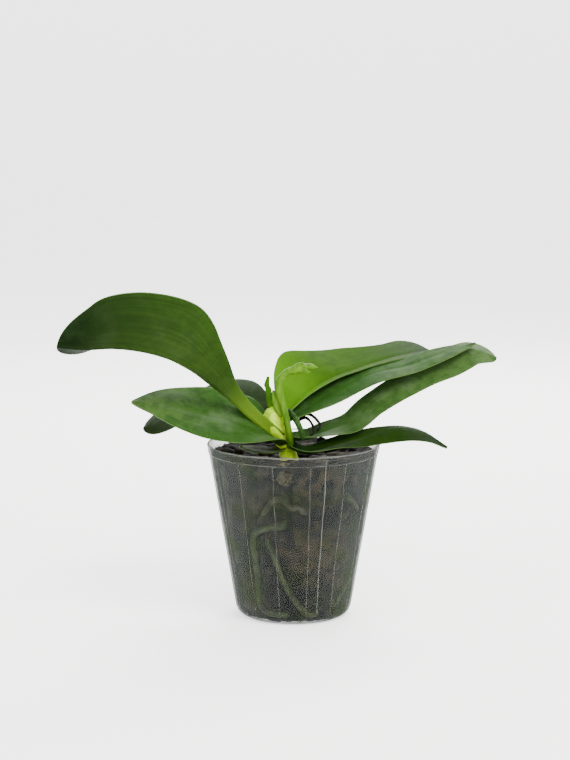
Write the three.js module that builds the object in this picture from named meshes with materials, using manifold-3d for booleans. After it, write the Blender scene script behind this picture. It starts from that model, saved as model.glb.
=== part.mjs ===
// A young moth orchid in its clear 12 cm pot: leaves, stem, flower spike, roots, bark and pot.
// Millimetres, +Z up. The origin is the middle of the pot's base, on the surface it stands on.
// The front of the plant faces -Y, and +X is to its right.

import * as THREE from 'three';
import { mergeVertices } from 'three/addons/utils/BufferGeometryUtils.js';
import Module from 'manifold-3d';

const wasm = await Module();
wasm.setup();

const rad = THREE.MathUtils.degToRad;

// Space left between two pieces that touch
const GAP = 0.3;

// Pot: a tapered shell of clear plastic
const POT_HEIGHT = 123;
const POT_FOOT_RADIUS = 41.5;
const POT_FOOT_HEIGHT = 8;
const POT_TAPER = 0.17;
const POT_WALL = 1.2;
const POT_FLOOR = 1.6;
const POT_CORNER = 6.5;
const POT_SIDES = 64;
const RIM_BAND_HEIGHT = 6.4;
const RIM_BAND_PROUD = 0.4;
const RIB_COUNT = 14;
const RIB_START_ANGLE = -14;
const RIB_WIDTH = 0.9;
const RIB_PROUD = 0.45;
const SEAM_ANGLE = 22;
const DRAIN_HOLE_COUNT = 8;
const DRAIN_HOLE_RADIUS = 3.5;
const DRAIN_CIRCLE_RADIUS = 25;

// Bark: coarse chips up to a little below the rim
const BARK_TOP = 112;
const BARK_SIDES = 36;
const BARK_RELIEF = 1.6;

// Stem: elliptical sections as [height, centre x, centre y, radius in x, radius in y]
const STEM_SECTIONS = [
  [86, -3, 0, 5.5, 5.5],
  [100, -3, 0, 7.4, 7.4],
  [107, -3, 0, 7, 7],
  [112, -3, 0, 5.8, 6],
  [118, -5, -0.4, 5.1, 5.6],
  [123, -7, -0.8, 5, 5.8],
  [125.5, -8.4, -1, 5.4, 6],
  [126.3, -8.9, -1.2, 6.4, 6.9],
  [131, -12, -1.8, 8.2, 7.7],
  [136, -13.9, -2.1, 8.7, 8],
  [141, -14.4, -2.4, 7.9, 7.4],
  [146, -13.8, -2.5, 6.2, 6],
  [151, -13.6, -2.5, 4, 3.8],
];
const STEM_SIDES = 20;

// Leaf blades: thickest along the midrib, thin at the margin
const LEAF_THICK = 2.4;
const LEAF_MARGIN_THICK = 0.9;
const LEAF_TIP_HALF_WIDTH = 1;

// Above 1, the sections of a blade lie closer together towards its round tip
const TIP_CROWDING = 1.4;

// Each leaf has a midrib from base to tip, and values spread evenly along it: how wide its left and
// right halves are, seen from the base, how far both fold up from the midrib, and how far the blade
// is rolled with its left half up.
const LEAVES = {
  leaf_left_top: {
    midrib: [
      [-11, -6, 126], [-22, -9, 136], [-33, -13, 146], [-47, -20, 161], [-61, -30, 175],
      [-79, -42, 187], [-99, -52, 195], [-121, -60, 199], [-141, -66, 199], [-159, -70, 201],
    ],
    left: [8, 8, 11, 24, 42, 46.5, 46.5, 40],
    right: [6, 7, 9, 16, 26, 32, 32, 30],
    fold: [40, 34, 34, 34, 30, 16],
    roll: [14, 30, 30, 30, 32, 42],
    blunt: 7,
    steps: 22,
    color: 0x3f6b26,
  },
  leaf_left_low: {
    midrib: [
      [-8, -5, 122], [-27, -14, 134], [-48, -18, 142],
      [-72, -20, 148], [-93, -22, 154], [-113, -24, 156],
    ],
    left: [8, 25, 26, 22.5, 15.5, 6],
    right: [8, 26, 28, 27, 19, 6],
    fold: [35, 12, 4, 0],
    roll: [-15, -32, -34, -30],
    blunt: 12,
    steps: 14,
    color: 0x4f7d3c,
  },
  leaf_left_back: {
    midrib: [
      [-10, 3, 128], [-25, 26, 142], [-52, 42, 147],
      [-77, 48, 140], [-98, 50, 131], [-110, 50, 124],
    ],
    left: [6, 18, 26, 27, 25, 22],
    right: [8, 10, 26, 32, 28, 22],
    fold: [40, 26, 10, 0],
    roll: [0, -12, -14, -22],
    blunt: 7,
    steps: 14,
    color: 0x3d6424,
  },
  leaf_right_top: {
    midrib: [
      [-9, -1, 139], [7, 14, 154], [23, 26, 163],
      [43, 38, 169], [71, 52, 176], [100, 62, 181],
    ],
    left: [9, 22, 29, 31, 31, 31, 30, 26, 24, 27, 28],
    right: [5, 7, 9, 11, 12, 12, 12, 12, 12, 11, 9],
    fold: [45, 30, 18, 12, 6],
    roll: [10, 14, 8, 8, 6],
    blunt: 9,
    steps: 16,
    color: 0x76a832,
  },
  leaf_right_mid: {
    midrib: [
      [-9, -2, 136], [18, 10, 151], [37, 19, 161], [61, 27, 169],
      [83, 33, 173], [108, 40, 181], [133, 48, 188],
    ],
    left: [7, 11, 12, 10, 9, 11, 9],
    right: [6, 12, 15, 14, 12, 12, 8],
    fold: [30, 4, 2, 2, 2],
    roll: [14, 18, 18, 18, 12],
    blunt: 6,
    steps: 14,
    color: 0x4c7a33,
  },
  leaf_right_low: {
    midrib: [
      [-6, -1, 126], [8, 1, 126], [23, 5, 130], [41, 14, 136], [53, 21, 148],
      [67, 28, 158], [86, 37, 168], [107, 44, 176], [128, 50, 182], [149, 54, 175],
    ],
    left: [6, 10.5, 9, 6.5, 7, 8, 8],
    right: [5, 9.5, 12.5, 15, 19, 22, 23, 24, 22, 16],
    fold: [32, 14, -3, -6, -6, -8, -4],
    roll: [6, 17, 26, 28, 28, 24, 10],
    blunt: 8,
    steps: 18,
    color: 0x56853a,
  },
  leaf_right_rim: {
    midrib: [
      [-5, -3, 124], [1, -7, 120], [8, -8, 117.5], [17, -5, 118], [29, -1, 121],
      [45, 4, 125], [60, 8, 130], [78, 13, 132], [95, 19, 127], [111, 24, 116],
    ],
    left: [4, 6, 8, 9, 6, 4, 5, 4],
    right: [4, 6, 8, 11, 12.5, 12.5, 10, 6],
    fold: [35, 21, 2, -8, -4],
    roll: [10, 18, 26, 21, 16],
    blunt: 8,
    steps: 14,
    color: 0x4a6d22,
  },
  leaf_basal: {
    midrib: [[-7, -3, 119.5], [-13, -10, 118.5], [-23, -16, 120], [-38, -22, 124]],
    left: [4, 7, 8, 5],
    right: [4, 7, 8, 5],
    fold: [20, 8, 0],
    roll: [0, -10, -10],
    blunt: 6,
    steps: 6,
    color: 0x6b7a2e,
  },
  leaf_new: {
    midrib: [[-15.5, -3, 144], [-17.8, -3, 154], [-18.5, -3, 163], [-18, -4, 171]],
    left: [4, 4.5, 4, 2],
    right: [4, 4.5, 4, 2],
    fold: [60, 60, 50],
    roll: [0, 0, 0],
    blunt: 6,
    steps: 8,
    color: 0x6fae35,
  },
};

// Points across half a blade, as a share of its half width
const BLADE_SHARES = [0, 0.5, 0.85, 1];

// Flower spike: young and green, from the foot of the stem up across its front
const SPIKE_PATH = [
  [-6, -2, 119], [-2.8, -6, 123], [-2.8, -9.5, 129], [-3.7, -11.5, 135], [-4.9, -12, 142],
  [-6.5, -11.5, 149], [-8.6, -10.5, 156], [-10.2, -9.5, 162], [-10.7, -8.5, 167], [-8, -7.5, 171],
  [-4, -6.5, 174.8], [1.2, -6, 176], [6, -6, 177.5], [10, -6, 178.3], [13.5, -6, 178],
];
const SPIKE_RADII = [2.6, 2.5, 2.4, 2.35, 2.4, 2.7, 2.85, 2.6, 3.2, 1.2];

// Bracts and buds on the spike: [where, the way it points, length, radius]
const SPIKE_BRACTS = [
  [[-8, -9.5, 143], [-0.35, 0.15, 1], 19, 3],
  [[-9.5, -9, 163], [-0.75, -0.1, 0.6], 7, 2],
  [[2, -6, 177], [0.65, -0.2, 0.7], 8, 2],
  [[6, -6.5, 177], [0.85, -0.3, -0.35], 8, 2],
  [[10, -6, 178], [0.95, -0.2, 0], 8, 2],
];

// Aerial root that hangs from the crown to the foot of the right leaves
const AERIAL_ROOT_PATH = [
  [-11, -2, 145], [-4, -3.5, 146], [0.3, -8, 142.8], [3.5, -12, 138], [5.9, -13, 131.5], [7, -12.5, 126.5],
];
const AERIAL_ROOT_RADII = [2.3, 2.2, 2.1, 1.6];

// Old roots, dried to thin black bows, right of the stem
const DRIED_ROOTS = [
  { path: [[4, 8, 138], [9, 7, 142.5], [14, 6, 141], [19, 5, 134.5], [17, 2, 131.5]], radius: 1.1 },
  { path: [[4, 8, 138], [9, 6, 140], [13.5, 4, 135], [14, 1, 130], [12, -1, 128.5]], radius: 1 },
];

// Roots in the pot, as [angle right of the front, radius, height]. AT_WALL lies against the pot.
const AT_WALL = 99;
const POT_ROOTS = {
  root_front_long: {
    radius: 2.6,
    path: [
      [-8, 5, 96], [-9, 36, 85], [-8, AT_WALL, 74], [-23, AT_WALL, 71], [-36, AT_WALL, 64],
      [-37, AT_WALL, 48], [-36, AT_WALL, 30], [-38, AT_WALL, 16], [-31, AT_WALL, 9],
      [-19, AT_WALL, 7.5], [-4, AT_WALL, 7.5],
    ],
    color: 0x7b9a55,
  },
  root_front_diagonal: {
    radius: 2.4,
    path: [
      [-36, 5, 90], [-28, 34, 76], [-22, AT_WALL, 60], [-19, AT_WALL, 54], [-7, AT_WALL, 28],
      [12, AT_WALL, 9], [28, AT_WALL, 7.5],
    ],
    color: 0x9fb07a,
  },
  root_front_arch: {
    radius: 2.2,
    path: [
      [24, 5, 105], [15, 36, 94], [9, AT_WALL, 83], [3, AT_WALL, 88], [-2, AT_WALL, 86],
      [-8, AT_WALL, 92], [-16, AT_WALL, 91], [-23, AT_WALL, 83], [-30, 42, 78],
    ],
    color: 0xc3c1a4,
  },
  root_right_short: {
    radius: 2.2,
    path: [
      [60, 5, 97], [52, 36, 95], [46, AT_WALL, 92],
      [51, AT_WALL, 88], [61, AT_WALL, 81], [66, 42, 74],
    ],
    color: 0x8ea264,
  },
  root_left_rim: {
    radius: 2.4,
    path: [
      [-66, 5, 103], [-66, 30, 109], [-65, 47, 115], [-64, AT_WALL, 108], [-64, AT_WALL, 98],
      [-63, AT_WALL, 84], [-66, AT_WALL, 60], [-62, AT_WALL, 40],
    ],
    color: 0xa9bd8c,
  },
  root_right_low: {
    radius: 2.3,
    path: [
      [92, 5, 90], [86, 34, 62], [80, AT_WALL, 42],
      [68, AT_WALL, 28], [54, AT_WALL, 16], [44, AT_WALL, 11],
    ],
    color: 0x8f9a68,
  },
  root_back_right: {
    radius: 2.5,
    path: [
      [124, 5, 99], [112, 36, 84], [106, AT_WALL, 66],
      [112, AT_WALL, 48], [104, AT_WALL, 30], [108, AT_WALL, 15],
    ],
    color: 0x8aa05e,
  },
  root_back: {
    radius: 2.4,
    path: [
      [172, 5, 96], [170, 36, 87], [172, AT_WALL, 76],
      [186, AT_WALL, 60], [200, AT_WALL, 50], [204, AT_WALL, 28],
    ],
    color: 0xa3b083,
  },
  root_back_left: {
    radius: 2.5,
    path: [
      [-120, 5, 100], [-122, 36, 90], [-126, AT_WALL, 80],
      [-140, AT_WALL, 62], [-134, AT_WALL, 40], [-124, AT_WALL, 20],
    ],
    color: 0x7f9657,
  },
};
const ROOT_SIDES = 6;
const ROOT_STEP_LENGTH = 9;

// Pale tuft of moss against the front wall, as [centre], [half sizes]
const MOSS_CENTRE = [-6, -47.5, 109];
const MOSS_HALF = [8.5, 7, 8.5];

// Radius of the pot's outside at a height, with its rounded foot
function potRadius(z) {
  const wall = POT_FOOT_RADIUS + (z - POT_FOOT_HEIGHT) * POT_TAPER;
  const below = Math.max(POT_CORNER - z, 0) / POT_CORNER;
  return wall - POT_CORNER * (1 - Math.sqrt(1 - below * below));
}

// A value at share s of the way along values spread evenly from start to end, as a smooth curve
function along(values, s) {
  const last = values.length - 1;
  const x = Math.min(Math.max(s, 0), 1) * last;
  const i = Math.min(Math.floor(x), last - 1);
  const t = x - i;
  const b = values[i];
  const c = values[i + 1];
  const a = i > 0 ? values[i - 1] : 2 * b - c;
  const d = i + 2 <= last ? values[i + 2] : 2 * c - b;
  const bend = (2 * a - 5 * b + 4 * c - d) * t ** 2 + (3 * b - a - 3 * c + d) * t ** 3;
  return 0.5 * (2 * b + (c - a) * t + bend);
}

// Even bumps, between -1 and 1, for chips and moss
function grain(x, y, z) {
  const coarse = Math.sin(0.55 * x + 1.3 * Math.sin(0.4 * z)) * Math.cos(0.5 * y + 0.3 * x);
  const fine = Math.sin(1.1 * z + 0.9 * y) * Math.cos(0.8 * x - 0.7 * z);
  return 0.6 * coarse + 0.4 * fine;
}

// A closed body through rings of points. Each ring runs anticlockwise seen from the last ring.
// A round ring is capped from its middle, and a flat one, as a blade's, between its two faces.
function skin(rings, flat = false) {
  const count = rings[0].length;
  const points = rings.flat();
  const faces = [];
  const at = (i, k) => i * count + (k % count);
  for (let i = 0; i + 1 < rings.length; i++) {
    for (let k = 0; k < count; k++) {
      const [a, b, c, d] = [at(i, k), at(i, k + 1), at(i + 1, k + 1), at(i + 1, k)];
      if (flat && k >= count / 2) faces.push([a, b, d], [b, c, d]);
      else faces.push([a, b, c], [a, c, d]);
    }
  }
  for (const i of [0, rings.length - 1]) {
    const cap = [];
    if (flat) {
      for (let k = 0; k < count / 2 - 1; k++) {
        const [a, b, c, d] = [at(i, k), at(i, k + 1), at(i, count - 2 - k), at(i, count - 1 - k)];
        cap.push([a, b, c], [a, c, d]);
      }
    } else {
      const middle = new THREE.Vector3();
      for (const point of rings[i]) middle.addScaledVector(point, 1 / count);
      points.push(middle);
      for (let k = 0; k < count; k++) cap.push([points.length - 1, at(i, k), at(i, k + 1)]);
    }
    for (const [a, b, c] of cap) faces.push(i === 0 ? [a, c, b] : [a, b, c]);
  }
  const geometry = new THREE.BufferGeometry().setFromPoints(points);
  geometry.setIndex(faces.flat());
  return geometry;
}

// A three.js geometry as a solid that can be joined and cut
function toSolid(geometry) {
  const plain = geometry.clone();
  plain.deleteAttribute('normal');
  plain.deleteAttribute('uv');
  const merged = mergeVertices(plain, 1e-4);
  const vertProperties = new Float32Array(merged.attributes.position.array);
  const triVerts = new Uint32Array(merged.index.array);
  return new wasm.Manifold(new wasm.Mesh({ numProp: 3, vertProperties, triVerts }));
}

// The largest body of a solid, as a three.js geometry
function toGeometry(solid) {
  const bodies = solid.decompose();
  bodies.sort((a, b) => b.volume() - a.volume());
  const mesh = bodies[0].getMesh();
  const geometry = new THREE.BufferGeometry();
  geometry.setAttribute('position', new THREE.BufferAttribute(mesh.vertProperties, 3));
  geometry.setIndex(new THREE.BufferAttribute(mesh.triVerts, 1));
  return geometry;
}

function toVectors(points) {
  return points.map((point) => new THREE.Vector3(...point));
}

// A round body along a path, with radii spread evenly from its start to its end, and a longer last
// and first ring where it has to clear the ends of what lies in it
function tube(points, radii, sides, steps, longer = 0) {
  const spine = new THREE.CatmullRomCurve3(points);
  const frames = spine.computeFrenetFrames(steps, false);
  const rings = [];
  for (let i = 0; i <= steps; i++) {
    const centre = spine.getPointAt(i / steps);
    const past = i === 0 ? -longer : i === steps ? longer : 0;
    centre.addScaledVector(frames.tangents[i], past);
    const radius = along(radii, i / steps);
    const ring = [];
    for (let k = 0; k < sides; k++) {
      const angle = (2 * Math.PI * k) / sides;
      const point = centre.clone().addScaledVector(frames.normals[i], radius * Math.cos(angle));
      ring.push(point.addScaledVector(frames.binormals[i], radius * Math.sin(angle)));
    }
    rings.push(ring);
  }
  return skin(rings);
}

// Pot, turned from its profile, with ribs, a mould seam and drain holes
function potSolid() {
  const bandFoot = POT_HEIGHT - RIM_BAND_HEIGHT;
  const foot = [0, 0.35, 1.2, 3, POT_CORNER];
  const outside = [
    [0, 0],
    ...foot.map((z) => [potRadius(z), z]),
    [potRadius(bandFoot), bandFoot],
    [potRadius(bandFoot) + RIM_BAND_PROUD, bandFoot + 0.4],
    [potRadius(POT_HEIGHT) + RIM_BAND_PROUD, POT_HEIGHT - 0.5],
    [potRadius(POT_HEIGHT) + RIM_BAND_PROUD - 0.4, POT_HEIGHT],
  ];
  const inside = [
    [potRadius(POT_HEIGHT) - POT_WALL + 0.3, POT_HEIGHT],
    [potRadius(POT_HEIGHT) - POT_WALL, POT_HEIGHT - 0.4],
    ...[POT_CORNER, 4, 2.6, POT_FLOOR].map((z) => [potRadius(z) - POT_WALL, z]),
    [0, POT_FLOOR],
  ];
  const profile = [...outside, ...inside].map(([r, z]) => new THREE.Vector2(r, z));
  const shell = new THREE.LatheGeometry(profile, POT_SIDES).rotateX(Math.PI / 2);
  let pot = toSolid(shell);

  const addRib = (angle, width, proud, top) => {
    const low = POT_CORNER + 1;
    const depth = proud + POT_WALL / 2;
    const rib = new THREE.BoxGeometry(width, depth, (top - low) / Math.cos(Math.atan(POT_TAPER)));
    rib.rotateX(Math.atan(POT_TAPER));
    const radius = (potRadius(low) + potRadius(top)) / 2 + proud - depth / 2;
    rib.translate(0, -radius, (low + top) / 2);
    rib.rotateZ(rad(angle));
    pot = pot.add(toSolid(rib));
  };
  for (let i = 0; i < RIB_COUNT; i++) {
    addRib(RIB_START_ANGLE + (360 * i) / RIB_COUNT, RIB_WIDTH, RIB_PROUD, bandFoot - 0.5);
  }
  addRib(SEAM_ANGLE, RIB_WIDTH, RIM_BAND_PROUD + 0.3, POT_HEIGHT - 2);

  for (let i = 0; i < DRAIN_HOLE_COUNT; i++) {
    const hole = new THREE.CylinderGeometry(DRAIN_HOLE_RADIUS, DRAIN_HOLE_RADIUS, 4 * POT_FLOOR, 12);
    hole.rotateX(Math.PI / 2);
    hole.translate(DRAIN_CIRCLE_RADIUS, 0, 0);
    hole.rotateZ((2 * Math.PI * i) / DRAIN_HOLE_COUNT);
    pot = pot.subtract(toSolid(hole));
  }
  return pot;
}

// Stem with the overlapping sheaths of the leaves, grown by a margin where it cuts a neighbour
function stemSolid(margin = 0) {
  const rings = STEM_SECTIONS.map(([z, x, y, radiusX, radiusY], i) => {
    const ends = (i === 0 ? -margin : 0) + (i === STEM_SECTIONS.length - 1 ? margin : 0);
    const ring = [];
    for (let k = 0; k < STEM_SIDES; k++) {
      const angle = (2 * Math.PI * k) / STEM_SIDES;
      const across = x + (radiusX + margin) * Math.cos(angle);
      ring.push(new THREE.Vector3(across, y + (radiusY + margin) * Math.sin(angle), z + ends));
    }
    return ring;
  });
  return toSolid(skin(rings));
}

// Blade of a leaf, grown by a margin on all sides where it cuts a neighbour
function leafSolid(leaf, margin = 0) {
  const spine = new THREE.CatmullRomCurve3(toVectors(leaf.midrib));
  const shares = [...BLADE_SHARES.slice(1).reverse().map((share) => -share), ...BLADE_SHARES];
  const up = new THREE.Vector3(0, 0, 1);
  const rings = [];
  for (let i = 0; i <= leaf.steps; i++) {
    const s = 1 - (1 - i / leaf.steps) ** TIP_CROWDING;
    const middle = spine.getPointAt(s);
    const tangent = spine.getTangentAt(s);
    const left = up.clone().cross(tangent).normalize();
    const normal = tangent.clone().cross(left);
    const round = Math.sqrt(Math.max(1 - s ** leaf.blunt, 0));
    const halves = [leaf.right, leaf.left].map((widths) => {
      return Math.max(along(widths, s) * round, LEAF_TIP_HALF_WIDTH) + margin;
    });
    const upper = [];
    const lower = [];
    for (const share of shares) {
      const side = Math.sign(share);
      const lift = rad(along(leaf.fold, s) + side * along(leaf.roll, s));
      const reach = halves[side > 0 ? 1 : 0] * Math.abs(share);
      const thick = LEAF_MARGIN_THICK + (LEAF_THICK - LEAF_MARGIN_THICK) * (1 - Math.abs(share)) ** 1.5;
      const point = middle.clone().addScaledVector(left, side * reach * Math.cos(lift));
      point.addScaledVector(normal, reach * Math.sin(lift));
      const face = side === 0 ? normal.clone() : normal.clone().multiplyScalar(Math.cos(lift));
      if (side !== 0) face.addScaledVector(left, -side * Math.sin(lift));
      upper.push(point.clone().addScaledVector(face, thick / 2 + margin));
      lower.push(point.clone().addScaledVector(face, -thick / 2 - margin));
    }
    rings.push([...upper.reverse(), ...lower]);
  }
  return toSolid(skin(rings, true));
}

// Flower spike with its bracts and buds, grown by a margin where it cuts a neighbour
function spikeSolid(margin = 0) {
  const radii = SPIKE_RADII.map((radius) => radius + margin);
  let spike = toSolid(tube(toVectors(SPIKE_PATH), radii, 8, 24));
  for (const [foot, way, length, radius] of SPIKE_BRACTS) {
    const bract = new THREE.ConeGeometry(radius + margin, length + 2 * margin, 7);
    bract.translate(0, length / 2, 0);
    const turn = new THREE.Quaternion();
    turn.setFromUnitVectors(new THREE.Vector3(0, 1, 0), new THREE.Vector3(...way).normalize());
    bract.applyQuaternion(turn);
    bract.translate(...foot);
    spike = spike.add(toSolid(bract));
  }
  return spike;
}

function aerialRootSolid(margin = 0) {
  const radii = AERIAL_ROOT_RADII.map((radius) => radius + margin);
  return toSolid(tube(toVectors(AERIAL_ROOT_PATH), radii, 8, 10));
}

function driedRootsSolid() {
  let roots = null;
  for (const { path, radius } of DRIED_ROOTS) {
    const root = toSolid(tube(toVectors(path), [radius, radius, radius * 0.8], 6, 12));
    roots = roots ? roots.add(root) : root;
  }
  return roots;
}

// Root in the pot, along a smooth path in angle, radius and height
function potRootSolid({ path, radius }, margin = 0) {
  const samples = [];
  const count = 4 * (path.length - 1);
  for (let i = 0; i <= count; i++) {
    const angle = rad(along(path.map((point) => point[0]), i / count));
    const z = along(path.map((point) => point[2]), i / count);
    const wall = potRadius(z - radius / 2) - POT_WALL - GAP - radius - 0.1;
    const r = Math.min(along(path.map((point) => Math.min(point[1], wall)), i / count), wall);
    samples.push([r * Math.sin(angle), -r * Math.cos(angle), z]);
  }
  const route = toVectors(samples);
  const steps = Math.round(new THREE.CatmullRomCurve3(route).getLength() / ROOT_STEP_LENGTH);
  const thick = radius + margin;
  return toSolid(tube(route, [thick, thick, thick, thick - 0.2], ROOT_SIDES, steps, margin));
}

function mossSolid(margin = 0) {
  const tuft = new THREE.IcosahedronGeometry(1, 3);
  const positions = tuft.attributes.position;
  for (let i = 0; i < positions.count; i++) {
    const point = new THREE.Vector3().fromBufferAttribute(positions, i);
    const [x, y, z] = MOSS_HALF.map((half, k) => half * point.getComponent(k));
    const swell = 1 + 0.12 * grain(2 * x, 2 * y, 2 * z) + margin / Math.min(...MOSS_HALF);
    positions.setXYZ(i, MOSS_CENTRE[0] + x * swell, MOSS_CENTRE[1] + y * swell, MOSS_CENTRE[2] + z * swell);
  }
  return toSolid(tuft);
}

// Bark fills the pot, with its chips as relief and plain holes for what stands in it
function barkSolid() {
  const floor = POT_FLOOR + GAP;
  const sideHeights = [floor, 4, 8, 24, 42, 60, 78, 94, BARK_TOP - 2];
  const topShares = [0.94, 0.8, 0.62, 0.44, 0.26];
  const stations = [
    ...sideHeights.map((z) => [potRadius(z) - POT_WALL - GAP, z]),
    ...topShares.map((share) => [share * (potRadius(BARK_TOP) - POT_WALL), BARK_TOP]),
  ];
  const rings = stations.map(([radius, z], i) => {
    const ring = [];
    for (let k = 0; k < BARK_SIDES; k++) {
      const angle = (2 * Math.PI * k) / BARK_SIDES;
      const [x, y] = [radius * Math.cos(angle), radius * Math.sin(angle)];
      const bump = grain(x, y, z);
      const onTop = i >= sideHeights.length;
      const inward = onTop || i === 0 ? 1 : 1 - (BARK_RELIEF * 0.35 * (1 + bump)) / radius;
      ring.push(new THREE.Vector3(x * inward, y * inward, onTop ? z + BARK_RELIEF * bump : z));
    }
    return ring;
  });
  return toSolid(skin(rings));
}

const plant = new THREE.Group();

function addPiece(name, solid, color, roughness, options = {}) {
  const material = new THREE.MeshStandardMaterial({ color, roughness, metalness: 0, ...options });
  const mesh = new THREE.Mesh(toGeometry(solid), material);
  mesh.name = name;
  plant.add(mesh);
}

addPiece('pot', potSolid(), 0xd8dcda, 0.35, { transparent: true, opacity: 0.4 });
addPiece('stem', stemSolid(), 0xa8c23a, 0.5);

// Each piece of the crown is cut clear of the stem and of the pieces placed before it
const stemSpace = stemSolid(GAP);
const taken = [stemSpace];
function addClear(name, solid, space, color, roughness) {
  let clear = solid;
  for (const other of taken) clear = clear.subtract(other);
  taken.push(space);
  addPiece(name, clear, color, roughness);
}

for (const [name, leaf] of Object.entries(LEAVES)) {
  addClear(name, leafSolid(leaf), leafSolid(leaf, GAP), leaf.color, 0.45);
}
addClear('flower_spike', spikeSolid(), spikeSolid(GAP), 0x9dbb34, 0.5);
addClear('aerial_root', aerialRootSolid(), aerialRootSolid(GAP), 0x8fa487, 0.8);
addClear('dried_roots', driedRootsSolid(), driedRootsSolid(), 0x2a2418, 0.9);

// The bark leaves a channel for each root and a pocket for the moss
let bark = barkSolid().subtract(stemSpace).subtract(mossSolid(GAP));
let moss = mossSolid();
for (const [name, root] of Object.entries(POT_ROOTS)) {
  const space = potRootSolid(root, GAP);
  bark = bark.subtract(space);
  moss = moss.subtract(space);
  addPiece(name, potRootSolid(root).subtract(stemSpace), root.color, 0.7);
}
addPiece('moss_tuft', moss, 0xcfc49a, 0.95);
addPiece('bark', bark, 0x4a3d31, 0.95);

export default plant;
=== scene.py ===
# %% [markdown]
# # A young moth orchid in its clear pot
#
# This lesson dresses a plain model of a potted orchid. The plain model gives every piece its place and
# size, and this script makes the surfaces that the eye sees: fleshy leaves with veins and a waxy skin,
# the sheaths of the stem, roots, bark, and a thin plastic pot. All sizes are written in millimetres, as
# a gardener would measure them, and MM turns them into Blender's metres.

# %% Load the plain model
import math
import random

import bmesh
import bpy
from mathutils import Matrix, Quaternion, Vector, noise
from mathutils.kdtree import KDTree


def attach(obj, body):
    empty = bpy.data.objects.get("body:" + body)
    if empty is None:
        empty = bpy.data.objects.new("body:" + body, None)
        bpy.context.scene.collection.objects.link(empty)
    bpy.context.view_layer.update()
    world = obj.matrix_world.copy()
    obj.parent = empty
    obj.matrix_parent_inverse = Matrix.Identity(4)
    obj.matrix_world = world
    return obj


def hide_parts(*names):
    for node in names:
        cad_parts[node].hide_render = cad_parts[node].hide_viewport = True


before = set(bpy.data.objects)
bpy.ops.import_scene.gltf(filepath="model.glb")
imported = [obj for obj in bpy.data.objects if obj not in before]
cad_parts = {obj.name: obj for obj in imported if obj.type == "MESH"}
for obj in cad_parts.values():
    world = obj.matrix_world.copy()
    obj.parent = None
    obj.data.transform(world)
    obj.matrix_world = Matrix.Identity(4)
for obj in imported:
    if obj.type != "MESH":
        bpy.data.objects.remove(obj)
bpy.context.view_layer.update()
MM = 0.001
print("plain nodes:", ", ".join(sorted(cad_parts)))

# %% [markdown]
# ## Camera
#
# The plant was seen from a little above the pot's rim, from about 1.4 m away, with a lens long enough
# to keep the pot's sides nearly straight. The lens is worked out from the picture's height in pixels,
# because a portrait frame uses Blender's 36 mm sensor along its long side.

# %% Place the camera
PICTURE_HEIGHT_PX = 760
FOCAL_PX = 2002
SENSOR_MM = 36
CAMERA_AT = Vector((-6, -1400, 372)) * MM
CAMERA_AIM = Vector((-6, 0, 168)) * MM


def look(thing, target):
    """Turns a camera or a lamp so that it faces a point."""
    thing.rotation_euler = (target - thing.location).to_track_quat("-Z", "Y").to_euler()


camera = bpy.data.objects.new("camera", bpy.data.cameras.new("camera"))
bpy.context.scene.collection.objects.link(camera)
camera.location = CAMERA_AT
look(camera, CAMERA_AIM)
camera.data.sensor_width = SENSOR_MM
camera.data.lens = FOCAL_PX / PICTURE_HEIGHT_PX * SENSOR_MM
camera.data.clip_start = 0.05
bpy.context.scene.camera = camera
print("lens", round(camera.data.lens, 1), "mm")

# %% [markdown]
# ## Helpers for materials and meshes
#
# Every material here is worked out by nodes, so a few small functions add the nodes that come up again
# and again. Colours are written as they look, in sRGB. The light below is strong enough to make white
# paper nearly white, and would bleach the plant, so PIGMENT_SHARE darkens every plant colour to suit.

# %% Define the helpers
PIGMENT_SHARE = 0.3


def material_with_tree(name):
    """A new material and its node tree, with nothing in it yet."""
    material = bpy.data.materials.new(name)
    material.use_nodes = True
    material.node_tree.nodes.clear()
    return material, material.node_tree


def node(tree, kind, settings=None, links=None):
    """Adds a node. settings go on its sockets or its properties, links come from other sockets."""
    made = tree.nodes.new(kind)
    for key, value in (settings or {}).items():
        if isinstance(key, str) and hasattr(made, key):
            setattr(made, key, value)
        else:
            made.inputs[key].default_value = value
    for key, source in (links or {}).items():
        tree.links.new(source, made.inputs[key])
    return made


def mixed(tree, share, first, second):
    """Mixes two colours by a share. Each is a fixed colour or another node's output."""
    mix = node(tree, "ShaderNodeMix", {"data_type": "RGBA"}, {0: share})
    for socket, colour in ((mix.inputs[6], first), (mix.inputs[7], second)):
        if isinstance(colour, bpy.types.NodeSocket):
            tree.links.new(colour, socket)
        else:
            socket.default_value = colour
    return mix.outputs[2]


def ranged(tree, value, low, high, start=0.0, end=1.0, curve="LINEAR"):
    """Spreads the values between low and high from start to end."""
    settings = {
        "From Min": low, "From Max": high, "To Min": start, "To Max": end, "interpolation_type": curve,
    }
    return node(tree, "ShaderNodeMapRange", settings, {"Value": value}).outputs[0]


def clouds(tree, vector, size_mm, detail=2.0, roughness=0.5, distortion=0.0):
    """Noise from 0 to 1 whose clouds are about size_mm across."""
    settings = {
        "Scale": 1 / (size_mm * MM), "Detail": detail, "Roughness": roughness, "Distortion": distortion,
    }
    return node(tree, "ShaderNodeTexNoise", settings, {"Vector": vector}).outputs[0]


def surface(tree, settings, links=None):
    """Adds the Principled shader and joins it to the material's output."""
    shader = node(tree, "ShaderNodeBsdfPrincipled", settings, links)
    node(tree, "ShaderNodeOutputMaterial", links={"Surface": shader.outputs[0]})


def linear(hex_colour):
    """An sRGB colour such as #6a8f3c as Blender's linear colour."""
    values = [int(hex_colour[i:i + 2], 16) / 255 for i in (1, 3, 5)]
    values = [v / 12.92 if v <= 0.04045 else ((v + 0.055) / 1.055) ** 2.4 for v in values]
    return (*values, 1.0)


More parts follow.
